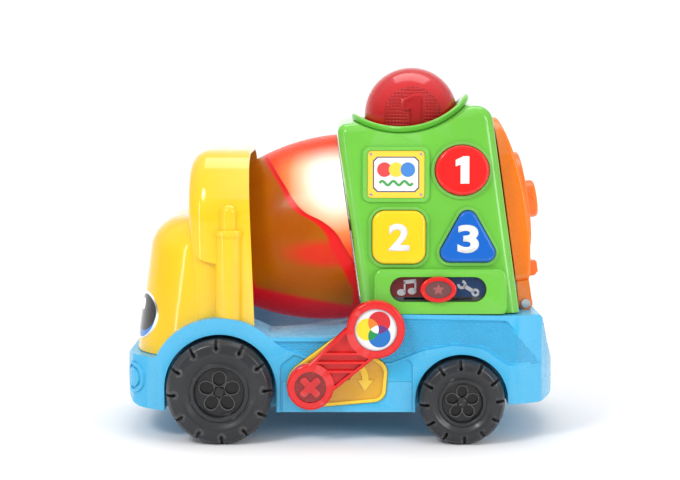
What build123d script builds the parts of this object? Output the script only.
from build123d import *
import os
from math import atan2, cos, degrees, hypot, radians, sin

# Toy cement mixer truck. Millimetres, +Z up, the cab faces -X, the lever side is -Y.
# The origin is on the ground at the centre of the truck.

# ---- driving dimensions ----
LENGTH = 283.0
WIDTH = 168.0
GROUND_GAP = 19.5
TAIL_FLOOR_Z = 24.5
SHELL = 2.5
SEAM = 0.15
RELIEF = 1.2

BODY_HALF = 74.0
PLATE_SEAT_HALF = 71.0
WAIST_HALF = 73.0
CORE_HALF = 68.0
SEAM_Z = 39.0
DECK_LOW_Z = 67.5
DECK_HIGH_Z = 82.0
HINGE_FLOOR_Z = 77.0
FRONT_CORNER_R = 53.0
TAIL_CORNER_R = 40.0
END_BOW_R = 160.0

FRONT_AXLE_X = -76.0
FRONT_WHEEL_R = 33.5
FRONT_ARCH_R = 35.8
FENDER_R = 46.0
REAR_AXLE_X = 77.0
REAR_WHEEL_R = 27.0
REAR_ARCH_R = 29.5
WHEEL_WIDTH = 26.0
AXLE_R = 2.5
AXLE_FIT = 0.08
AXLE_INSET = 8.6
WELL_INNER = 55.0

NOSE_HALF = 65.0
NOSE_FRONT_X = -134.0
NOSE_CORNER_R = 43.0
NOSE_TOP_Z = 141.0
NOSE_FOOT_Z = 48.0
NOSE_SLOPE = 0.1376
NOSE_RIM_R = 24.0
HOOP_HALF = 68.5
HOOP_CORNER_R = 44.0
HOOP_TOP_Z = 183.5
STACK_X = -70.0

TILT = 8.0
PANEL_LEAN = 4.0
DRUM_X = 0.0
DRUM_Z = 130.9
DRUM_R = 61.5
DRUM_ARC_R = 135.0
DRUM_FRONT_U = -70.0
DRUM_REAR_U = 6.4
DRUM_WALL = 2.2
SHAFT_R = 4.0
SHAFT_FIT = 0.05

TOWER_X = 13.4
TOWER_Z = 88.0
TOWER_LENGTH = 99.0
TOWER_TOP_W = 113.5
TOWER_HALF = 67.0
TOWER_WALL = 2.5
SADDLE_U = 48.5
SADDLE_W = 101.7
SADDLE_R = 63.5

BALL_R = 31.0
BALL_U = 50.0
BALL_W = 112.0
HOPPER_BORE_R = 33.2

BUTTON_TRAVEL = 3.0
BUTTON_GAP = 0.5
KNOB_TRAVEL = 18.0

LEVER_PIVOT = (-18.6, 37.4)
LEVER_END = (22.4, 73.7)
LEVER_BOSS_R = 14.7
LEVER_DISC_R = 18.3
LEVER_INNER_Y = 76.2
LEVER_OUTER_Y = WIDTH / 2

HATCH_PIN_U = 105.4
HATCH_PIN_W = -17.8
HATCH_PIN_R = 2.0
HATCH_HALF = 44.0
HINGE_NOTCH_X = 113.2
HINGE_NOTCH_HALF = 47.5

COS_T = cos(radians(TILT))
SIN_T = sin(radians(TILT))

# ---- working planes ----
SIDE = Plane.XZ
TOWER = Plane(origin=(TOWER_X, 0, TOWER_Z), x_dir=(COS_T, 0, SIN_T), z_dir=(0, -1, 0))
DRUM = Plane(origin=(DRUM_X, 0, DRUM_Z), x_dir=(COS_T, 0, SIN_T), z_dir=(0, -1, 0))
DRUM_AXIS = Axis((DRUM_X, 0, DRUM_Z), (COS_T, 0, SIN_T))
PANEL = Plane(
    origin=(0, -TOWER_HALF, TOWER_Z),
    x_dir=(1, 0, 0),
    z_dir=(0, -cos(radians(PANEL_LEAN)), sin(radians(PANEL_LEAN))),
)


def facing_rear(base, u, w=0.0):
    """Plane across the tilted frame at u, its normal along the drum axis."""
    return Plane(
        origin=base.from_local_coords((u, w, 0)), x_dir=(0, 1, 0), z_dir=(COS_T, 0, SIN_T)
    )


def facing_up(u, w):
    """Plane across the tower at height w, its normal along the leaning tower."""
    return Plane(
        origin=TOWER.from_local_coords((u, w, 0)), x_dir=(COS_T, 0, SIN_T), z_dir=(-SIN_T, 0, COS_T)
    )


def flank(side, x, y, z):
    """Upright plane at y on the given side, its normal along -Y; -side * d is outwards."""
    return Plane(origin=(x, side * y, z), x_dir=(1, 0, 0), z_dir=(0, -1, 0))


def write(block, name):
    block.part.label = name
    export_step(block.part, f"parts/{name}.step")


os.makedirs("parts", exist_ok=True)

# ---- chassis outline, shared by the shells and by what stands on them ----
HULL_POINTS = [
    (-130, GROUND_GAP), (-LENGTH / 2, 23.5), (-LENGTH / 2, 40), (-138, 53), (-112, 53), (-96, 70),
    (-56, 72.5), (-44, DECK_LOW_Z), (0, DECK_LOW_Z), (36, DECK_HIGH_Z), (128.5, DECK_HIGH_Z - 1),
    (133.5, 62), (LENGTH / 2, 40), (LENGTH / 2, TAIL_FLOOR_Z), (104, TAIL_FLOOR_Z), (98, GROUND_GAP),
]
HULL_RADII = [10, 9, 9, 3, 2, 4, 6, 8, 26, 26, 5, 20, 14, 3, 2, 2]


def plan_outline(inset):
    """The body seen from above: bowed ends with wide corners, shrunk by inset."""
    with BuildSketch() as outline:
        for end, corner_r in ((-1, FRONT_CORNER_R), (1, TAIL_CORNER_R)):
            for side in (-1, 1):
                with Locations((end * (LENGTH / 2 - corner_r), side * (BODY_HALF - corner_r))):
                    Circle(corner_r - inset)
        make_hull()
        for end in (-1, 1):
            with Locations((end * (LENGTH / 2 - END_BOW_R), 0)):
                Circle(END_BOW_R - inset, mode=Mode.INTERSECT)
    return outline.sketch


def hull(name, inset, half_width):
    """The body's solid outline: side profile, fender discs and rounded plan corners."""
    with BuildPart() as block:
        with BuildSketch(SIDE) as profile:
            with BuildLine():
                FilletPolyline(*HULL_POINTS, radius=HULL_RADII, close=True)
            make_face()
            with Locations((FRONT_AXLE_X, FRONT_WHEEL_R)):
                Circle(FENDER_R)
            with Locations((0, 60 + GROUND_GAP)):
                Rectangle(LENGTH, 120, mode=Mode.INTERSECT)
            if inset:
                offset(amount=-inset)
        extrude(amount=half_width, both=True)
        with BuildSketch(Plane.XY):
            add(plan_outline(inset))
        extrude(amount=200, mode=Mode.INTERSECT)
        block.part.label = name
    return block


hull_outer = hull("hull_outer", 0, BODY_HALF)
hull_core = hull("hull_core", SHELL, CORE_HALF)
hull_grown = hull("hull_grown", -RELIEF, BODY_HALF + RELIEF)

# Round headlights moulded on the front bumper: a raised disc inside a ring groove.
with BuildPart() as headlights:
    for side in (-1, 1):
        with BuildSketch(Plane(origin=(-150, side * 50, 38), x_dir=(0, 1, 0), z_dir=(1, 0, 0))):
            Circle(10)
            Circle(8, mode=Mode.SUBTRACT)
            Circle(6.2)
        extrude(amount=34)
    add(hull_grown.part, mode=Mode.INTERSECT)
    add(hull_outer.part, mode=Mode.SUBTRACT)

PLATE_CORNERS = [((21.0, 34.0), 8.2), ((20.5, 44.6), 9.6), ((0.0, 60.0), 8.2)]


def plate_outline(gain):
    """Fan-shaped outline behind the lever, round its pivot and three corners, grown by gain."""
    with BuildSketch() as outline:
        with Locations(LEVER_PIVOT):
            Circle(15.0 + gain)
        for corner, radius in PLATE_CORNERS:
            with Locations(corner):
                Circle(radius + gain)
        make_hull()
    return outline.sketch


AXLES = [
    (FRONT_AXLE_X, FRONT_WHEEL_R, FRONT_ARCH_R),
    (REAR_AXLE_X, REAR_WHEEL_R, REAR_ARCH_R),
]

with BuildPart() as hull_cavity:
    add(hull_core.part)
    # The cavity keeps clear of the wheel wells and of the drum's cradle.
    for side in (-1, 1):
        for x, z, arch_r in AXLES:
            with BuildSketch(flank(side, x, WELL_INNER - SHELL, z)):
                Circle(arch_r + SHELL)
            extrude(amount=-side * 40, mode=Mode.SUBTRACT)
    with BuildSketch(facing_rear(DRUM, -90)):
        Circle(DRUM_R + 2.2 + SHELL)
    extrude(amount=150, mode=Mode.SUBTRACT)
    with BuildSketch(Plane.XY.offset(HINGE_FLOOR_Z - SHELL)):
        with Locations((HINGE_NOTCH_X - SHELL + 25, 0)):
            Rectangle(50, 2 * (HINGE_NOTCH_HALF + SHELL))
    extrude(amount=20, mode=Mode.SUBTRACT)

with BuildPart() as hull_shell:
    add(hull_outer.part)
    for side in (-1, 1):
        for x, z, arch_r in AXLES:
            with BuildSketch(flank(side, x, WELL_INNER, z)):
                Circle(arch_r)
                with Locations((0, -arch_r)):
                    Rectangle(2 * arch_r, 2 * arch_r)
            extrude(amount=-side * 40, mode=Mode.SUBTRACT)
        # The waist between the arches is set back a little, and more under the lever's plate.
        with BuildSketch(flank(side, 0, WAIST_HALF, 0)):
            with BuildLine():
                FilletPolyline(
                    (-38, 0), (-38, 50), (-29, 56.6), (-20, 53.2), (6, 48.7), (32, 49.7), (46, 55),
                    (46, 0), radius=[0, 6, 2, 10, 14, 12, 4, 0], close=True,
                )
            make_face()
        extrude(amount=-side * 10, mode=Mode.SUBTRACT)
        if side < 0:
            with BuildSketch(flank(side, 0, PLATE_SEAT_HALF, 0)):
                add(plate_outline(0.3))
            extrude(amount=10, mode=Mode.SUBTRACT)
        # The grip panels along the deck edge are sunk behind the fender ridges.
        with BuildSketch(flank(side, 0, BODY_HALF - 1.5, 0)):
            with BuildLine():
                FilletPolyline(
                    (-42, 65), (-34.5, 59.6), (-20, 54.5), (6, 50), (32, 51), (52, 58.8),
                    (72, 62.3), (90, 60.5), (106, 49.5), (131, 48.5), (105, 78.2), (37, 79.5), (0, 65),
                    radius=[0, 6, 10, 14, 12, 12, 14, 14, 6, 2, 4, 12, 12],
                    close=True,
                )
            make_face()
        extrude(amount=-side * 10, mode=Mode.SUBTRACT)
    with BuildSketch(facing_rear(DRUM, -90)):
        Circle(DRUM_R + 2.2)
    extrude(amount=150, mode=Mode.SUBTRACT)
    # Notch in the tail deck for the hatch's hinge.
    with BuildSketch(Plane.XY.offset(HINGE_FLOOR_Z)):
        with Locations((HINGE_NOTCH_X + 25, 0)):
            Rectangle(50, 2 * HINGE_NOTCH_HALF)
    extrude(amount=20, mode=Mode.SUBTRACT)
    add(hull_cavity.part, mode=Mode.SUBTRACT)
    add(headlights.part)

BASE_FRONT_X = -127.5
BASE_REAR_X = 96.0

# The base tray takes everything below the seam between the arches, and the floor under them.
with BuildPart() as base_zone:
    with BuildSketch(Plane.XY):
        with Locations(((BASE_FRONT_X + BASE_REAR_X) / 2, 0)):
            Rectangle(BASE_REAR_X - BASE_FRONT_X, 104)
    extrude(amount=GROUND_GAP + SHELL + 0.5)
    with BuildSketch(Plane.XY):
        with Locations((4.5, 0)):
            Rectangle(82, 160)
    extrude(amount=SEAM_Z)

with BuildPart() as base_zone_gap:
    with BuildSketch(Plane.XY):
        with Locations(((BASE_FRONT_X + BASE_REAR_X) / 2, 0)):
            Rectangle(BASE_REAR_X - BASE_FRONT_X + 2 * SEAM, 104 + 2 * SEAM)
    extrude(amount=GROUND_GAP + SHELL + 0.5 + SEAM)
    with BuildSketch(Plane.XY):
        with Locations((4.5, 0)):
            Rectangle(82 + 2 * SEAM, 160)
    extrude(amount=SEAM_Z + SEAM)

BASE_SCREWS = [(-32, -48), (-32, 48), (40, -48), (40, 48)]
TOWER_SCREWS = [(-34, -14), (34, -14), (-36, -98), (24, -98)]
BATTERY_X = 4.0
BATTERY_LENGTH = 62.0
BATTERY_WIDTH = 56.0
LUG_INNER = 27.0
LUG_WIDTH = 7.0
PIN_POINT = TOWER.from_local_coords((HATCH_PIN_U, HATCH_PIN_W, 0))

with BuildPart() as chassis_upper:
    add(hull_shell.part)
    add(base_zone_gap.part, mode=Mode.SUBTRACT)
    # The axles pass through both well walls.
    for x, z, arch_r in AXLES:
        with BuildSketch(flank(1, x, 0, z)):
            Circle(AXLE_R + 1.5)
        extrude(amount=60, both=True, mode=Mode.SUBTRACT)
    with BuildSketch(flank(-1, LEVER_PIVOT[0], 40, LEVER_PIVOT[1])):
        Circle(6)
    extrude(amount=40, mode=Mode.SUBTRACT)
    # Two lugs on the tail deck carry the hatch pin.
    for side in (-1, 1):
        with BuildSketch(flank(side, PIN_POINT.X, LUG_INNER, PIN_POINT.Z)):
            Circle(4.4)
            with Locations((0, (HINGE_FLOOR_Z - 1 - PIN_POINT.Z) / 2)):
                Rectangle(8.8, PIN_POINT.Z - HINGE_FLOOR_Z + 1)
        extrude(amount=-side * LUG_WIDTH)
        with BuildSketch(flank(side, PIN_POINT.X, LUG_INNER - 1, PIN_POINT.Z)):
            Circle(HATCH_PIN_R)
        extrude(amount=-side * (LUG_WIDTH + 2), mode=Mode.SUBTRACT)

with BuildPart() as chassis_base:
    add(hull_shell.part)
    add(base_zone.part, mode=Mode.INTERSECT)
    floor_z = GROUND_GAP + SHELL - 0.5
    # Ribs with closed bores carry the axles.
    for x, z, arch_r in AXLES:
        for y in (-42, 42):
            with BuildSketch(flank(1, x, y + 3, z)):
                Circle(6)
                with Locations((0, (floor_z - z) / 2)):
                    Rectangle(12, z - floor_z)
            extrude(amount=6)
            with BuildSketch(flank(1, x, y + 4, z)):
                Circle(AXLE_R + AXLE_FIT)
            extrude(amount=8, mode=Mode.SUBTRACT)
    # Boss for the lever's shaft, on the lever side only.
    with BuildSketch(flank(-1, LEVER_PIVOT[0], 48, LEVER_PIVOT[1] - 5)):
        with Locations((0, 5)):
            Circle(5.5)
        Rectangle(7, 11)
    extrude(amount=PLATE_SEAT_HALF - 48)
    with BuildSketch(Plane.XY.offset(SEAM_Z)):
        Rectangle(LENGTH, WIDTH)
    extrude(amount=10, mode=Mode.SUBTRACT)
    with BuildSketch(flank(-1, LEVER_PIVOT[0], 40, LEVER_PIVOT[1])):
        Circle(3 + SHAFT_FIT)
    extrude(amount=40, mode=Mode.SUBTRACT)
    for x, y in BASE_SCREWS:
        with BuildSketch(Plane(origin=(x, y, GROUND_GAP), z_dir=(0, 0, 1))):
            Circle(2.6)
        extrude(amount=1.5, mode=Mode.SUBTRACT)
        with BuildSketch(Plane(origin=(x, y, GROUND_GAP), z_dir=(0, 0, 1))):
            Circle(1.2)
        extrude(amount=9, mode=Mode.SUBTRACT)
    # Opening for the battery door.
    with BuildSketch(Plane.XY):
        with Locations((BATTERY_X, 0)):
            RectangleRounded(BATTERY_LENGTH, BATTERY_WIDTH, 3)
    extrude(amount=GROUND_GAP + SHELL + 0.5, mode=Mode.SUBTRACT)

write(chassis_upper, "chassis_upper")
write(chassis_base, "chassis_base")

# ---- battery compartment ----
with BuildPart() as battery_box:
    with BuildSketch(Plane.XY.offset(GROUND_GAP + SHELL + 0.1)):
        with Locations((BATTERY_X, 0)):
            Rectangle(BATTERY_LENGTH + 6, BATTERY_WIDTH + 6)
            Rectangle(BATTERY_LENGTH - 2, BATTERY_WIDTH - 2, mode=Mode.SUBTRACT)
    extrude(amount=20)
    with BuildSketch(Plane.XY.offset(GROUND_GAP + SHELL + 20.1)):
        with Locations((BATTERY_X, 0)):
            Rectangle(BATTERY_LENGTH + 6, BATTERY_WIDTH + 6)
    extrude(amount=2)
write(battery_box, "battery_box")

with BuildPart() as battery_door:
    with BuildSketch(Plane.XY.offset(GROUND_GAP)):
        with Locations((BATTERY_X, 0)):
            RectangleRounded(BATTERY_LENGTH - 0.6, BATTERY_WIDTH - 0.6, 2.7)
    extrude(amount=SHELL - 0.1)
    with BuildSketch(Plane.XY.offset(GROUND_GAP)):
        with Locations((BATTERY_X + 25, 0)):
            Circle(2.6)
    extrude(amount=1.5, mode=Mode.SUBTRACT)
    with BuildSketch(Plane.XY.offset(GROUND_GAP)):
        with Locations((BATTERY_X + 25, 0)):
            Circle(1.2)
    extrude(amount=SHELL, mode=Mode.SUBTRACT)
write(battery_door, "battery_door")


def screw(plane, length):
    """A pan-head screw whose head faces along the plane's normal, with a cross recess."""
    with BuildPart() as block:
        with BuildSketch(plane):
            Circle(2.4)
        extrude(amount=1.4)
        with BuildSketch(plane.offset(-length)):
            Circle(1.1)
        extrude(amount=length)
        with BuildSketch(plane.offset(0.6)):
            Rectangle(3, 0.7)
            Rectangle(0.7, 3)
        extrude(amount=1, mode=Mode.SUBTRACT)
    return block.part


BATTERY_Z = GROUND_GAP + SHELL + 8.6
with BuildPart() as batteries:
    for y in (-15.5, 0, 15.5):
        with BuildSketch(Plane(origin=(BATTERY_X - 24.4, y, BATTERY_Z), x_dir=(0, 1, 0), z_dir=(1, 0, 0))):
            Circle(7.1)
        extrude(amount=48.5)
        with BuildSketch(Plane(origin=(BATTERY_X + 24.1, y, BATTERY_Z), x_dir=(0, 1, 0), z_dir=(1, 0, 0))):
            Circle(2.7)
        extrude(amount=1.6)
write(batteries, "batteries")

with BuildPart() as battery_contacts:
    for y in (-15.5, 0, 15.5):
        for x in (BATTERY_X - 28.9, BATTERY_X + 28.3):
            with BuildSketch(Plane(origin=(x, y, BATTERY_Z), x_dir=(0, 1, 0), z_dir=(1, 0, 0))):
                RectangleRounded(10, 10, 1)
            extrude(amount=0.6)
write(battery_contacts, "battery_contacts")

# ---- cab ----


def nose(inset):
    """The bonnet and face of the cab, rounded along its front, top and side edges."""
    with BuildPart() as block:
        with BuildSketch(Plane.XY.offset(NOSE_FOOT_Z)):
            for side in (-1, 1):
                with Locations((NOSE_FRONT_X + NOSE_CORNER_R, side * (NOSE_HALF - NOSE_CORNER_R))):
                    Circle(NOSE_CORNER_R - inset)
            make_hull()
            with Locations((NOSE_FRONT_X + 27, 0)):
                Rectangle(54, 2 * NOSE_HALF, mode=Mode.INTERSECT)
        extrude(amount=120, dir=(NOSE_SLOPE, 0, 1))
        with BuildSketch(Plane.XY.offset(NOSE_TOP_Z - inset)):
            Rectangle(400, 200)
        extrude(amount=60, mode=Mode.SUBTRACT)
        rear_x = NOSE_FRONT_X + 54 + (NOSE_TOP_Z - NOSE_FOOT_Z) * NOSE_SLOPE
        rims = (
            block.edges()
            .filter_by(lambda e: e.center().Z > NOSE_TOP_Z - inset - 0.01)
            .filter_by(lambda e: e.center().X < rear_x - 2)
        )
        fillet(rims, radius=NOSE_RIM_R - inset)
    return block


def hoop(inset):
    """The tall arch behind the bonnet that the drum's front end turns in."""
    with BuildPart() as block:
        with BuildSketch(Plane.YZ):
            with BuildLine():
                FilletPolyline(
                    (-HOOP_HALF, 48), (-HOOP_HALF, HOOP_TOP_Z), (HOOP_HALF, HOOP_TOP_Z), (HOOP_HALF, 48),
                    radius=[0, HOOP_CORNER_R, HOOP_CORNER_R, 0], close=True,
                )
            make_face()
            if inset:
                offset(amount=-inset)
        extrude(amount=150, both=True)
        with BuildSketch(SIDE):
            Polygon(
                (-94 + inset, 40), (-97.5 + inset, 190), (-58.5, 190), (-53, 40), align=None
            )
        extrude(amount=100, both=True, mode=Mode.INTERSECT)
        front_rim = (
            block.edges()
            .filter_by(lambda e: e.center().Z > 100 and e.center().X < -90)
        )
        fillet(front_rim, radius=13 - inset)
        # Low in front of the stacks the arch's sides step in to meet the bonnet.
        for side in (-1, 1):
            with BuildSketch(flank(side, 0, NOSE_HALF - inset, 0)):
                with BuildLine():
                    FilletPolyline(
                        (-120, 30), (-120, 131), (-98, 131), (-91, 116.5), (-72, 112), (-72, 30),
                        radius=[0, 0, 0, 11, 0, 0], close=True,
                    )
                make_face()
                if inset:
                    offset(amount=inset)
            extrude(amount=-side * 20, mode=Mode.SUBTRACT)
    return block


nose_outer = nose(0)
nose_inner = nose(SHELL)
hoop_outer = hoop(0)
hoop_inner = hoop(SHELL)


# Exhaust stacks moulded half into the hoop's sides.
with BuildPart() as stacks:
    for side in (-1, 1):
        foot = Plane(origin=(STACK_X, side * (HOOP_HALF - 5), 70), z_dir=(0, 0, 1))
        with BuildSketch(foot):
            Circle(9.4)
        extrude(amount=62)
        with BuildSketch(foot.offset(61)):
            Circle(10.4)
        extrude(amount=4)
        with BuildSketch(foot.offset(65)):
            with Locations((0, side * 2.3)):
                Circle(6)
        extrude(amount=16)
    fillet(stacks.edges().group_by(Axis.Z)[-1], radius=5)
    fillet(stacks.edges().filter_by(lambda e: 134 < e.center().Z < 136 and e.length > 40), radius=0.9)

with BuildPart() as cab_shell:
    add(nose_outer.part)
    add(hoop_outer.part)
    add(stacks.part)
    add(nose_inner.part, mode=Mode.SUBTRACT)
    add(hoop_inner.part, mode=Mode.SUBTRACT)
    add(hull_outer.part, mode=Mode.SUBTRACT)
    with BuildSketch(Plane.XY):
        Rectangle(400, 200)
    extrude(amount=53.4, mode=Mode.SUBTRACT)
write(cab_shell, "cab_shell")

BULKHEAD_U = DRUM_FRONT_U - 6.5
with BuildPart() as cab_bulkhead:
    with BuildSketch(facing_rear(DRUM, BULKHEAD_U)):
        Rectangle(160, 260)
    extrude(amount=2.5)
    add(hoop(SHELL + 0.2).part, mode=Mode.INTERSECT)
    with BuildSketch(Plane.XY.offset(81)):
        Rectangle(400, 200)
    extrude(amount=-60, mode=Mode.SUBTRACT)
    with BuildSketch(facing_rear(DRUM, BULKHEAD_U - 8)):
        Circle(9)
    extrude(amount=8.5)
    with BuildSketch(facing_rear(DRUM, BULKHEAD_U - 10)):
        Circle(SHAFT_R + SHAFT_FIT)
    extrude(amount=20, mode=Mode.SUBTRACT)
write(cab_bulkhead, "cab_bulkhead")

# Eyes: thin ovals moulded to the face of the nose.
EYE_Y = 37.0
EYE_Z = 77.0
with BuildPart() as nose_grown:
    add(nose_outer.part)
    offset(amount=0.9)
for side, eye_name in ((-1, "eye_left"), (1, "eye_right")):
    with BuildPart() as eye:
        with BuildSketch(Plane(origin=(-150, side * EYE_Y, EYE_Z), x_dir=(0, 1, 0), z_dir=(1, 0, 0))):
            Ellipse(16, 15.5)
        extrude(amount=50)
        add(nose_grown.part, mode=Mode.INTERSECT)
        add(nose_outer.part, mode=Mode.SUBTRACT)
    write(eye, eye_name)

# ---- wheels and axles ----


def wheel(radius, side, x, z):
    """One hollow moulded wheel: crowned tyre, sunk disc with petals, shoulder notches."""
    inner_y = WIDTH / 2 - WHEEL_WIDTH
    face = WHEEL_WIDTH
    disc = face - 6
    section = Plane(origin=(x, side * inner_y, z), x_dir=(1, 0, 0), z_dir=(0, 0, side))
    with BuildPart() as block:
        with BuildSketch(section):
            with BuildLine():
                FilletPolyline(
                    (AXLE_R, 2), (6.5, 2), (6.5, disc - 2.5), (radius - 5, disc - 2.5), (radius - 5, 0),
                    (radius - 2, 0), (radius, 3), (radius, face - 5), (0.92 * radius, face - 1),
                    (0.72 * radius, face), (0.57 * radius, face - 2.6), (0.55 * radius, face - 1.6),
                    (0.48 * radius, face - 1.6), (0.455 * radius, disc), (3.4, disc), (2.9, face - 4),
                    (0, face - 4), (0, disc - 2.4), (AXLE_R, disc - 2.4),
                    radius=[0, 0, 1, 2, 0, 1, 1, 2.5, 3, 5, 0.4, 0.7, 0.7, 0.5, 0.3, 0.8, 0, 0, 0],
                    close=True,
                )
            make_face()
        revolve(axis=Axis((x, 0, z), (0, side, 0)))
        with BuildSketch(flank(side, x, inner_y + face - 7, z)):
            with PolarLocations(radius, 12, start_angle=3):
                SlotOverall(12.5, 2)
        extrude(amount=-side * 10, mode=Mode.SUBTRACT)
        petal_r = 0.25 * radius
        petal_length = 0.27 * radius
        with BuildSketch(flank(side, x, inner_y + disc, z)):
            with PolarLocations(petal_r, 5, start_angle=90):
                SlotOverall(petal_length + 1.4, 0.235 * radius + 1.4)
        extrude(amount=-side * 0.9)
        with BuildSketch(flank(side, x, inner_y + disc - 1.4, z)):
            with PolarLocations(petal_r, 5, start_angle=90):
                SlotOverall(petal_length, 0.235 * radius)
        extrude(amount=-side * 5, mode=Mode.SUBTRACT)
    return block


for place, x, radius in (("front", FRONT_AXLE_X, FRONT_WHEEL_R), ("rear", REAR_AXLE_X, REAR_WHEEL_R)):
    with BuildPart() as axle_rod:
        with BuildSketch(flank(1, x, WIDTH / 2 - AXLE_INSET, radius)):
            Circle(AXLE_R)
        extrude(amount=WIDTH - 2 * AXLE_INSET)
    write(axle_rod, f"{place}_axle")
    for side, hand in ((-1, "left"), (1, "right")):
        write(wheel(radius, side, x, radius), f"wheel_{place}_{hand}")

# ---- drum ----


def drum_radius(u):
    """Radius of the barrel at u along its axis: a long arc with its crest at u = 0."""
    return DRUM_R - DRUM_ARC_R + (DRUM_ARC_R**2 - u**2) ** 0.5


FRONT_R = drum_radius(DRUM_FRONT_U)
REAR_R = drum_radius(DRUM_REAR_U)
MID_U = (DRUM_FRONT_U + DRUM_REAR_U) / 2

with BuildPart() as drum_shell:
    with BuildSketch(DRUM):
        with BuildLine():
            ThreePointArc(
                (DRUM_FRONT_U, FRONT_R), (MID_U, drum_radius(MID_U)), (DRUM_REAR_U, REAR_R)
            )
            Line((DRUM_REAR_U, REAR_R), (DRUM_REAR_U, REAR_R - DRUM_WALL))
            ThreePointArc(
                (DRUM_REAR_U, REAR_R - DRUM_WALL),
                (MID_U, drum_radius(MID_U) - DRUM_WALL),
                (DRUM_FRONT_U, FRONT_R - DRUM_WALL),
            )
            Line((DRUM_FRONT_U, FRONT_R - DRUM_WALL), (DRUM_FRONT_U, FRONT_R))
        make_face()
    revolve(axis=DRUM_AXIS)
write(drum_shell, "drum_shell")


def end_disc(disc_u, hub_u, radius):
    """One end of the drum: a plate with a hub bored for the shaft."""
    with BuildPart() as block:
        with BuildSketch(facing_rear(DRUM, disc_u)):
            Circle(radius)
        extrude(amount=2.2)
        with BuildSketch(facing_rear(DRUM, hub_u)):
            Circle(SHAFT_R + 3)
        extrude(amount=8)
        with BuildSketch(facing_rear(DRUM, hub_u - 1)):
            Circle(SHAFT_R)
        extrude(amount=10, mode=Mode.SUBTRACT)
    return block


write(end_disc(DRUM_FRONT_U, DRUM_FRONT_U, FRONT_R - DRUM_WALL - 0.1), "drum_front_cap")
write(end_disc(DRUM_REAR_U - 2.2, DRUM_REAR_U - 8, REAR_R - DRUM_WALL - 2.3), "drum_rear_disc")

SHAFT_FRONT_U = BULKHEAD_U - 7
SHAFT_REAR_U = 16.5
with BuildPart() as drum_shaft:
    with BuildSketch(facing_rear(DRUM, SHAFT_FRONT_U)):
        Circle(SHAFT_R)
    extrude(amount=SHAFT_REAR_U - SHAFT_FRONT_U)
write(drum_shaft, "drum_shaft")

# The mixing vane: four blades standing on the shaft between the two end discs.
VANE_FRONT_U = DRUM_FRONT_U + 9
VANE_REAR_U = DRUM_REAR_U - 9
with BuildPart() as drum_vane:
    with BuildSketch(facing_rear(DRUM, VANE_FRONT_U)):
        Circle(SHAFT_R + 3)
        for angle in (0, 90, 180, 270):
            with Locations(Rotation(0, 0, angle)):
                with Locations((22, 0)):
                    Rectangle(40, 2.2)
        Circle(SHAFT_R, mode=Mode.SUBTRACT)
    extrude(amount=VANE_REAR_U - VANE_FRONT_U)
    with BuildSketch(DRUM):
        with BuildLine():
            ThreePointArc(
                (DRUM_FRONT_U, FRONT_R - 5), (MID_U, drum_radius(MID_U) - 5), (DRUM_REAR_U, REAR_R - 5)
            )
            Polyline(
                (DRUM_REAR_U, REAR_R - 5), (DRUM_REAR_U, 0), (DRUM_FRONT_U, 0), (DRUM_FRONT_U, FRONT_R - 5)
            )
        make_face()
    revolve(axis=DRUM_AXIS, mode=Mode.INTERSECT)
write(drum_vane, "drum_vane")

# ---- tower ----


def tower_block(inset):
    """Leaning tower outline; inset gives the cavity inside its walls."""
    with BuildPart() as block:
        with BuildSketch(TOWER):
            with BuildLine():
                FilletPolyline(
                    (inset, -30), (inset, TOWER_TOP_W - inset),
                    (TOWER_LENGTH - inset, TOWER_TOP_W - inset), (TOWER_LENGTH - inset, -30),
                    radius=[0, 6 - inset, 11 - inset, 0], close=True,
                )
            make_face()
        extrude(amount=100, both=True)
        with BuildSketch(Plane.YZ):
            rise = 135.0
            drop = 20.0
            slope = sin(radians(PANEL_LEAN)) / cos(radians(PANEL_LEAN))
            low = TOWER_HALF - inset + drop * slope
            high = TOWER_HALF - inset - rise * slope
            Polygon(
                (-low, TOWER_Z - drop), (low, TOWER_Z - drop), (high, TOWER_Z + rise), (-high, TOWER_Z + rise),
                align=None,
            )
        extrude(amount=200, both=True, mode=Mode.INTERSECT)
        with BuildSketch(TOWER):
            with Locations((SADDLE_U, SADDLE_W + SADDLE_R)):
                Circle(SADDLE_R + inset)
        extrude(amount=100, both=True, mode=Mode.SUBTRACT)
        if not inset:
            corners = block.edges().filter_by(
                lambda e: e.length > 60 and abs(e.center().Y) > 40 and 100 < e.center().Z < 190
            )
            fillet(corners, radius=7)
        with BuildSketch(Plane.XY.offset(DECK_HIGH_Z + SEAM)):
            Rectangle(400, 300)
        extrude(amount=-60, mode=Mode.SUBTRACT)
    return block


tower_outer = tower_block(0)
tower_inner = tower_block(TOWER_WALL)

BUTTON_1 = (77.1, 84.4)
BUTTON_2 = (37.2, 42.2)
BUTTON_2_SIZE = 33.6
BUTTON_3 = (80.7, 42.1)
LABEL = (35.4, 81.8)
LABEL_SIZE = (36.0, 29.7)
SLIDE = (61.9, 9.3)
PAD = (63.4, 7.0)
PAD_SIZE = (84.0, 30.5)
PAD_RISE = 5.0
RECESS_SIZE = (61.0, 15.8)
RECESS_FLOOR = PAD_RISE - 3.4
TRACK = (SLIDE[0], SLIDE[1] - 5.9)
TRACK_SIZE = (2 * KNOB_TRAVEL + 7, 1.5)
BUTTON_NAMES = ["button_round", "button_square", "button_triangle"]
BUTTON_PLACES = [BUTTON_1, BUTTON_2, BUTTON_3]
TRIANGLE_TIP_R = 6.0


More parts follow.
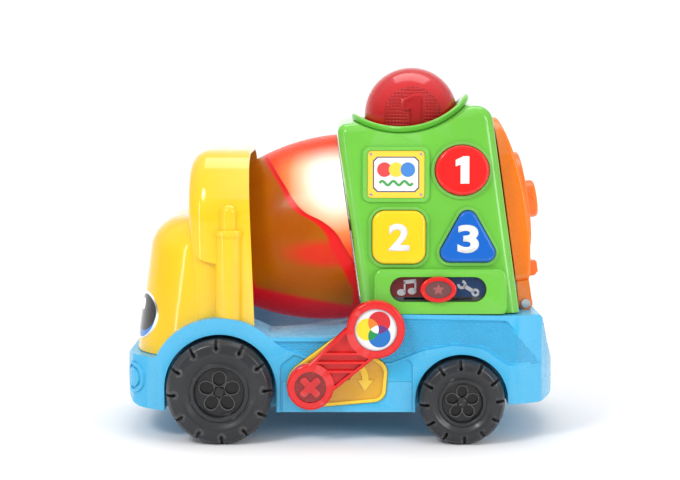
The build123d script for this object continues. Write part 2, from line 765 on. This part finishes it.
def button_outline(name, gain):
    """Outline of one button's face, grown by gain."""
    with BuildSketch() as outline:
        if name == "button_round":
            Ellipse(17.0 + gain, 15.8 + gain)
        elif name == "button_square":
            RectangleRounded(BUTTON_2_SIZE + 2 * gain, BUTTON_2_SIZE + 2 * gain, 7.8 + gain)
        else:
            with BuildLine():
                FilletPolyline(
                    (0, 23.2), (21.6, -15.6), (-21.6, -15.6), radius=TRIANGLE_TIP_R, close=True
                )
            make_face()
            if gain:
                offset(amount=gain)
    return outline.sketch


with BuildPart() as tower_body:
    add(tower_outer.part)
    # Raised pad for the mode switch, level with the side of the deck.
    with BuildSketch(PANEL):
        with Locations(PAD):
            RectangleRounded(*PAD_SIZE, 6)
    extrude(amount=PAD_RISE)
    fillet(tower_body.faces().sort_by(Axis.Y)[0].edges(), radius=2)
    with BuildSketch(Plane.XY.offset(DECK_HIGH_Z + SEAM)):
        Rectangle(400, 300)
    extrude(amount=-60, mode=Mode.SUBTRACT)
    # Raised frame round the label.
    with BuildSketch(PANEL):
        with Locations(LABEL):
            RectangleRounded(LABEL_SIZE[0] + 6, LABEL_SIZE[1] + 5, 4.6)
            RectangleRounded(LABEL_SIZE[0] + 0.4, LABEL_SIZE[1] + 0.4, 2.4, mode=Mode.SUBTRACT)
    extrude(amount=1.6)
    # Each button sits in a low moulded collar.
    for name, place in zip(BUTTON_NAMES, BUTTON_PLACES):
        with BuildSketch(PANEL.shift_origin(PANEL.from_local_coords(place))):
            add(button_outline(name, 2.4))
        extrude(amount=1.2)
    add(tower_inner.part, mode=Mode.SUBTRACT)
    for name, place in zip(BUTTON_NAMES, BUTTON_PLACES):
        with BuildSketch(PANEL.shift_origin(PANEL.from_local_coords(place)).offset(-6)):
            add(button_outline(name, BUTTON_GAP))
        extrude(amount=12, mode=Mode.SUBTRACT)
    # Long round-ended recess for the slider, with a narrow track through its floor.
    with BuildSketch(PANEL.offset(RECESS_FLOOR)):
        with Locations(SLIDE):
            SlotOverall(*RECESS_SIZE)
    extrude(amount=10, mode=Mode.SUBTRACT)
    with BuildSketch(PANEL.offset(-6)):
        with Locations(TRACK):
            Rectangle(*TRACK_SIZE)
    extrude(amount=16, mode=Mode.SUBTRACT)
    # The hopper's hole, the way out for the ball, and the drum shaft's bearing.
    with BuildSketch(facing_up(BALL_U, 85)):
        Circle(HOPPER_BORE_R + 2.8)
    extrude(amount=40, mode=Mode.SUBTRACT)
    with BuildSketch(facing_rear(TOWER, TOWER_LENGTH - 6)):
        with Locations((0, 36)):
            RectangleRounded(72, 72, 10)
    extrude(amount=12, mode=Mode.SUBTRACT)
    with BuildSketch(facing_rear(DRUM, 7.2)):
        Circle(8)
    extrude(amount=8)
    with BuildSketch(facing_rear(DRUM, 4)):
        Circle(SHAFT_R + SHAFT_FIT)
    extrude(amount=20, mode=Mode.SUBTRACT)
    # Sound holes on the far side.
    far_panel = Plane(
        origin=(60, TOWER_HALF, TOWER_Z), x_dir=(1, 0, 0),
        z_dir=(0, cos(radians(PANEL_LEAN)), sin(radians(PANEL_LEAN))),
    )
    with BuildSketch(far_panel.offset(-6)):
        with Locations((0, -55)):
            Circle(2)
            for ring_r, count in ((6, 6), (12, 12), (18, 18)):
                with PolarLocations(ring_r, count):
                    Circle(1.6)
    extrude(amount=12, mode=Mode.SUBTRACT)
    for place in TOWER_SCREWS:
        screw_seat = far_panel.shift_origin(far_panel.from_local_coords(place))
        with BuildSketch(screw_seat.offset(-1.5)):
            Circle(2.6)
        extrude(amount=4, mode=Mode.SUBTRACT)
        with BuildSketch(screw_seat.offset(-5)):
            Circle(1.2)
        extrude(amount=5, mode=Mode.SUBTRACT)

for keep, shell_name in ((Keep.TOP, "tower_left_shell"), (Keep.BOTTOM, "tower_right_shell")):
    with BuildPart() as tower_half:
        add(tower_body.part)
        split(bisect_by=Plane.XZ.offset(SEAM / 2 if keep == Keep.TOP else -SEAM / 2), keep=keep)
    write(tower_half, shell_name)

# Saddle-shaped collar round the hopper's mouth.
with BuildPart() as collar_bead:
    with BuildSketch(facing_up(BALL_U, 85)):
        Circle(HOPPER_BORE_R + 6.2)
        Circle(HOPPER_BORE_R, mode=Mode.SUBTRACT)
    extrude(amount=45)
    with BuildSketch(TOWER):
        with Locations((SADDLE_U, SADDLE_W + SADDLE_R)):
            Circle(SADDLE_R - 0.1)
            Circle(SADDLE_R - 4.2, mode=Mode.SUBTRACT)
    extrude(amount=60, both=True, mode=Mode.INTERSECT)
    fillet(collar_bead.edges().filter_by(lambda e: e.length > 100), radius=1.5)
with BuildPart() as hopper_collar:
    with BuildSketch(facing_up(BALL_U, 94)):
        Circle(HOPPER_BORE_R + 2.6)
        Circle(HOPPER_BORE_R + 0.2, mode=Mode.SUBTRACT)
    extrude(amount=40)
    with BuildSketch(TOWER):
        with Locations((SADDLE_U, SADDLE_W + SADDLE_R)):
            Circle(SADDLE_R - 2)
    extrude(amount=60, both=True, mode=Mode.SUBTRACT)
    add(collar_bead.part)
write(hopper_collar, "hopper_collar")

# ---- ball, its gate and its chute ----
with BuildPart() as ball:
    with Locations(TOWER.from_local_coords((BALL_U, BALL_W, 0))):
        Sphere(BALL_R)
write(ball, "ball_red")

GATE_TIP_R = 24.0
GATE_TOP_W = BALL_W - (BALL_R**2 - GATE_TIP_R**2) ** 0.5 - 0.08
with BuildPart() as ball_gate:
    with BuildSketch(facing_up(BALL_U, GATE_TOP_W - 1.8)):
        Circle(HOPPER_BORE_R - 0.1)
        Circle(GATE_TIP_R, mode=Mode.SUBTRACT)
        with PolarLocations(GATE_TIP_R + 2, 6):
            Rectangle(11, 2, mode=Mode.SUBTRACT)
    extrude(amount=1.8)
write(ball_gate, "ball_gate")

CHUTE_HALF = 34.0
CHUTE_TOP_W = 60.0
with BuildPart() as ball_chute:
    with BuildSketch(TOWER):
        Polygon((14, 12), (14, CHUTE_TOP_W), (95, CHUTE_TOP_W), (95, 0), (90, 0), align=None)
    extrude(amount=CHUTE_HALF + 1.8, both=True)
    with BuildSketch(TOWER):
        Polygon((16, 25), (16, CHUTE_TOP_W - 2), (97, CHUTE_TOP_W - 2), (97, 3.5), align=None)
    extrude(amount=CHUTE_HALF, both=True, mode=Mode.SUBTRACT)
    with BuildSketch(TOWER):
        Polygon((16, 10), (16, 22.5), (97, 1), (97, -3), (40, -3), align=None)
    extrude(amount=CHUTE_HALF, both=True, mode=Mode.SUBTRACT)
    with BuildSketch(facing_up(BALL_U, CHUTE_TOP_W - 1)):
        Circle(HOPPER_BORE_R + 1.8)
    extrude(amount=93.5 - CHUTE_TOP_W + 1)
    with BuildSketch(facing_up(BALL_U, CHUTE_TOP_W - 3)):
        Circle(HOPPER_BORE_R)
    extrude(amount=50, mode=Mode.SUBTRACT)
write(ball_chute, "ball_chute")

# ---- buttons ----
for name, place in zip(BUTTON_NAMES, BUTTON_PLACES):
    with BuildPart() as button:
        face_plane = PANEL.shift_origin(PANEL.from_local_coords(place))
        with BuildSketch(face_plane.offset(-2.9)):
            add(button_outline(name, 0))
        extrude(amount=7.6)
        fillet(button.edges().group_by(Axis.Y)[0], radius=2.2)
        with BuildSketch(face_plane.offset(-5.0)):
            add(button_outline(name, 1.6))
        extrude(amount=2.1)
        with BuildSketch(face_plane.offset(-8)):
            Circle(4)
        extrude(amount=4)
    write(button, name)

with BuildPart() as circuit_board:
    with BuildSketch(PANEL.offset(-17)):
        with Locations((54, 55)):
            Rectangle(66, 84)
    extrude(amount=1.6)
write(circuit_board, "circuit_board")

with BuildPart() as keypad:
    for place in BUTTON_PLACES:
        with BuildSketch(PANEL.shift_origin(PANEL.from_local_coords(place)).offset(-15.4)):
            Circle(6)
        extrude(amount=4.2)
write(keypad, "keypad")

with BuildPart() as label_plate:
    with BuildSketch(PANEL):
        with Locations(LABEL):
            RectangleRounded(*LABEL_SIZE, 2.2)
    extrude(amount=1.0)
write(label_plate, "label_plate")

# ---- mode slider ----
with BuildPart() as slider_plate:
    with BuildSketch(PANEL.offset(RECESS_FLOOR)):
        with Locations(SLIDE):
            SlotOverall(RECESS_SIZE[0] - 0.4, RECESS_SIZE[1] - 0.4)
        with Locations(TRACK):
            Rectangle(*TRACK_SIZE, mode=Mode.SUBTRACT)
    extrude(amount=0.6)
write(slider_plate, "slider_plate")

KNOB_BASE = PAD_RISE + 0.3
WINDOW_BASE = PAD_RISE + 0.6
WINDOW_RADII = (8.4, 5.5)
with BuildPart() as slider_knob:
    # An oval ring wider than the recess, on a body that fits inside it.
    with BuildSketch(PANEL.offset(KNOB_BASE)):
        with Locations(SLIDE):
            Ellipse(11.4, 8.2)
    extrude(amount=2.6)
    fillet(slider_knob.edges().group_by(Axis.Y)[0], radius=1.2)
    with BuildSketch(PANEL.offset(RECESS_FLOOR + 1)):
        with Locations(SLIDE):
            Ellipse(10.8, 7.1)
    extrude(amount=KNOB_BASE - RECESS_FLOOR - 1)
    with BuildSketch(PANEL.offset(WINDOW_BASE)):
        with Locations(SLIDE):
            Ellipse(*WINDOW_RADII)
    extrude(amount=4, mode=Mode.SUBTRACT)
    with BuildSketch(PANEL.offset(-6)):
        with Locations(TRACK):
            Rectangle(5, 0.9)
    extrude(amount=6 + RECESS_FLOOR + 1.2)
write(slider_knob, "slider_knob")

with BuildPart() as slider_window:
    with BuildSketch(PANEL.offset(WINDOW_BASE)):
        with Locations(SLIDE):
            Ellipse(*WINDOW_RADII)
    extrude(amount=1.6)
write(slider_window, "slider_window")

with BuildPart() as slide_switch:
    with BuildSketch(PANEL.offset(-12.5)):
        with Locations(SLIDE):
            Rectangle(46, 9)
    extrude(amount=6)
    with BuildSketch(PANEL.offset(-12.6)):
        with Locations((SLIDE[0], SLIDE[1])):
            Rectangle(50, 4)
    extrude(amount=1)
write(slide_switch, "slide_switch")

# ---- speaker and drum light ----
with BuildPart() as speaker:
    with BuildSketch(far_panel.offset(-9)):
        with Locations((0, -55)):
            Circle(22)
    extrude(amount=5.5)
    with BuildSketch(far_panel.offset(-17)):
        with Locations((0, -55)):
            Circle(12)
    extrude(amount=8)
write(speaker, "speaker")

with BuildPart() as led_board:
    with BuildSketch(facing_rear(TOWER, 4)):
        with Locations((0, 84)):
            Rectangle(56, 16)
    extrude(amount=1.6)
    for y in (-18, 0, 18):
        with BuildSketch(facing_rear(TOWER, 2.7)):
            with Locations((y, 84)):
                Circle(2.5)
        extrude(amount=1.5)
write(led_board, "led_board")

# ---- lever ----
ARM_DX = LEVER_END[0] - LEVER_PIVOT[0]
ARM_DZ = LEVER_END[1] - LEVER_PIVOT[1]
ARM_LENGTH = hypot(ARM_DX, ARM_DZ)
ARM_ANGLE = degrees(atan2(ARM_DZ, ARM_DX))
TRACK_R = 24.2
lever_plane = Plane(
    origin=(LEVER_PIVOT[0], -LEVER_INNER_Y, LEVER_PIVOT[1]),
    x_dir=(ARM_DX, 0, ARM_DZ), z_dir=(0, -1, 0),
)
LEVER_THICK = LEVER_OUTER_Y - LEVER_INNER_Y


with BuildPart() as lever_arm:
    # Two discs joined by a straight-sided arm.
    with BuildSketch(lever_plane):
        Circle(LEVER_BOSS_R)
        with Locations((ARM_LENGTH, 0)):
            Circle(LEVER_DISC_R)
        with BuildLine():
            Polyline((0, 11.2), (ARM_LENGTH, 13.6), (ARM_LENGTH, -13.6), (0, -11.2), close=True)
        make_face()
    extrude(amount=LEVER_THICK)
    fillet(lever_arm.edges().group_by(Axis.Y)[0], radius=1.8)
    # The arm's face is sunk between raised edges, with level ribs left standing.
    with BuildSketch(lever_plane.offset(LEVER_THICK - 3.4)):
        with BuildLine():
            Polyline((4, 9), (ARM_LENGTH - 6, 11.2), (ARM_LENGTH - 6, -11.2), (4, -9), close=True)
        make_face()
        Circle(LEVER_BOSS_R + 0.4, mode=Mode.SUBTRACT)
        with Locations((ARM_LENGTH, 0)):
            Circle(LEVER_DISC_R + 0.2, mode=Mode.SUBTRACT)
        with Locations((15, 0), (23.5, 0), (32, 0)):
            Rectangle(40, 1.5, rotation=-ARM_ANGLE, mode=Mode.SUBTRACT)
    extrude(amount=5, mode=Mode.SUBTRACT)
    # Sunk seats for the crossed cap over the pivot and for the colour disc.
    with BuildSketch(lever_plane.offset(LEVER_THICK - 2.2)):
        Circle(9.9)
        with Locations((ARM_LENGTH, 0)):
            Circle(13.4)
    extrude(amount=5, mode=Mode.SUBTRACT)
    with BuildSketch(lever_plane.offset(-1)):
        Circle(3)
    extrude(amount=5.2, mode=Mode.SUBTRACT)
    # A peg behind the arm runs in the plate's curved track.
    with BuildSketch(lever_plane.offset(-3.6)):
        with Locations((TRACK_R, 0)):
            Circle(1.1)
    extrude(amount=3.7)
write(lever_arm, "lever_arm")

with BuildPart() as lever_cap:
    with BuildSketch(lever_plane.offset(LEVER_THICK - 2.2)):
        Circle(9.7)
    extrude(amount=0.9)
    with BuildSketch(lever_plane.offset(LEVER_THICK - 1.3)):
        RectangleRounded(15.4, 4.4, 1.4, rotation=2)
        RectangleRounded(15.4, 4.4, 1.4, rotation=92)
    extrude(amount=1.1)
write(lever_cap, "lever_cap")

with BuildPart() as lever_disc:
    with BuildSketch(lever_plane.offset(LEVER_THICK - 2.2)):
        with Locations((ARM_LENGTH, 0)):
            Circle(13.2)
    extrude(amount=1.2)
write(lever_disc, "lever_disc")

with BuildPart() as lever_shaft:
    with BuildSketch(flank(-1, LEVER_PIVOT[0], 38, LEVER_PIVOT[1])):
        Circle(3)
    extrude(amount=LEVER_INNER_Y - 38 + 4.2)
write(lever_shaft, "lever_shaft")

with BuildPart() as lever_spring:
    for turn in range(3):
        with BuildSketch(Plane(origin=(LEVER_PIVOT[0], 0, LEVER_PIVOT[1]), x_dir=(1, 0, 0), z_dir=(0, 0, 1))):
            with Locations((4.4, -41.5 - 1.9 * turn)):
                Circle(0.9)
        revolve(axis=Axis((LEVER_PIVOT[0], 0, LEVER_PIVOT[1]), (0, 1, 0)))
write(lever_spring, "lever_spring")

with BuildPart() as lever_plate:
    with BuildSketch(flank(-1, 0, PLATE_SEAT_HALF, 0)):
        add(plate_outline(0))
    extrude(amount=3.6)
    fillet(lever_plate.edges().group_by(Axis.Y)[0], radius=1.2)
    with BuildSketch(flank(-1, 0, PLATE_SEAT_HALF + 2.4, 0)):
        add(plate_outline(-2.4))
    extrude(amount=4, mode=Mode.SUBTRACT)
    with BuildSketch(flank(-1, LEVER_PIVOT[0], PLATE_SEAT_HALF - 1, LEVER_PIVOT[1])):
        Circle(3.6)
        SlotArc(Edge.make_circle(TRACK_R, start_angle=10.5, end_angle=43.5), 3.2)
    extrude(amount=8, mode=Mode.SUBTRACT)
write(lever_plate, "lever_plate")

# ---- hatch ----
hatch_face = facing_rear(TOWER, 101.2)
HATCH_TOP_U = 104.4
HATCH_CREST_U = 114.4
HATCH_FOOT_U = 109.4


def hatch_outline(inset):
    """Door outline, a little narrower at its rounded top, shrunk by inset."""
    with BuildSketch() as outline:
        with BuildLine():
            FilletPolyline(
                (-HATCH_HALF + inset, -5 + inset), (-HATCH_HALF + 5 + inset, 103 - inset),
                (HATCH_HALF - 5 - inset, 103 - inset), (HATCH_HALF - inset, -5 + inset),
                radius=[6 - inset / 2, 26 - inset, 26 - inset, 6 - inset / 2], close=True,
            )
        make_face()
    return outline.sketch


def along_tower(e):
    """Distance of an edge's centre along the tilted frame."""
    return TOWER.to_local_coords(e.center()).X


def bowed_door(edge, inset):
    """The door's solid: its outline under a long bow that is thickest near the middle."""
    with BuildPart() as block:
        with BuildSketch(hatch_face.offset(-edge)):
            add(hatch_outline(inset))
        extrude(amount=20)
        with BuildSketch(TOWER):
            with BuildLine():
                ThreePointArc(
                    (HATCH_TOP_U - edge, 104), (HATCH_CREST_U - edge, 50), (HATCH_FOOT_U - edge, -6)
                )
                Polyline(
                    (HATCH_FOOT_U - edge, -6), (90, -6), (90, 104), (HATCH_TOP_U - edge, 104)
                )
            make_face()
        extrude(amount=60, both=True, mode=Mode.INTERSECT)
    return block


with BuildPart() as hatch_door:
    add(bowed_door(0, 0).part)
    fillet(hatch_door.edges().filter_by(lambda e: along_tower(e) > 102.2), radius=2.2)
    add(bowed_door(2.2, 3).part, mode=Mode.SUBTRACT)
    with BuildSketch(facing_rear(TOWER, 110.5)):
        with Locations((0, 45)):
            Circle(32.5)
    extrude(amount=6.5)
    fillet(hatch_door.edges().filter_by(lambda e: along_tower(e) > 116.9), radius=1.4)
    # Ribbed finger tab at the foot of the door.
    with BuildSketch(Plane(origin=TOWER.origin, x_dir=(COS_T, 0, SIN_T), z_dir=(0, -1, 0))):
        with Locations((113.4, -0.4)):
            RectangleRounded(11.6, 10.4, 3.4)
    extrude(amount=9, both=True)
    for y in (-6, -2, 2, 6):
        with BuildSketch(facing_rear(TOWER, 119.2)):
            with Locations((y, -0.4)):
                Rectangle(1.4, 7)
        extrude(amount=0.6)
    # Two arms reach down to the hinge pin.
    for side in (-1, 1):
        with BuildSketch(Plane(
            origin=TOWER.from_local_coords((0, 0, 0)) + Vector(0, side * 35.2, 0),
            x_dir=(COS_T, 0, SIN_T), z_dir=(0, -1, 0),
        )):
            with Locations((HATCH_PIN_U, HATCH_PIN_W)):
                Circle(4.6)
            Polygon(
                (HATCH_PIN_U - 4.4, HATCH_PIN_W + 2.6), (101.6, -3), (109.5, -3),
                (HATCH_PIN_U + 4.4, HATCH_PIN_W - 2.2), align=None,
            )
        extrude(amount=-side * 8.4)
    with BuildSketch(Plane(
        origin=TOWER.from_local_coords((HATCH_PIN_U, HATCH_PIN_W, 0)),
        x_dir=(COS_T, 0, SIN_T), z_dir=(0, -1, 0),
    )):
        Circle(HATCH_PIN_R + SHAFT_FIT)
    extrude(amount=60, both=True, mode=Mode.SUBTRACT)
write(hatch_door, "hatch_door")

with BuildPart() as hatch_knob:
    with BuildSketch(facing_rear(TOWER, 117.05)):
        with Locations((0, 45)):
            Circle(12.5)
    extrude(amount=8)
    fillet(hatch_knob.edges().filter_by(lambda e: along_tower(e) > 124), radius=2.5)
write(hatch_knob, "hatch_knob")

with BuildPart() as hatch_pin:
    with BuildSketch(flank(1, PIN_POINT.X, 44.8, PIN_POINT.Z)):
        Circle(HATCH_PIN_R)
    extrude(amount=89.6)
    for side in (-1, 1):
        with BuildSketch(flank(side, PIN_POINT.X, 44.2, PIN_POINT.Z)):
            Circle(2.9)
        extrude(amount=-side * 1.6)
write(hatch_pin, "hatch_pin")

# ---- screws, each in a counterbored hole ----
with BuildPart() as base_screws:
    for x, y in BASE_SCREWS:
        add(screw(Plane(origin=(x, y, GROUND_GAP + 1.5), x_dir=(1, 0, 0), z_dir=(0, 0, -1)), 6))
write(base_screws, "base_screws")
with BuildPart() as door_screw:
    add(screw(Plane(origin=(BATTERY_X + 25, 0, GROUND_GAP + 1.5), x_dir=(1, 0, 0), z_dir=(0, 0, -1)), 2.2))
write(door_screw, "door_screw")
with BuildPart() as tower_screws:
    for place in TOWER_SCREWS:
        add(screw(far_panel.shift_origin(far_panel.from_local_coords(place)).offset(-1.5), 6))
write(tower_screws, "tower_screws")
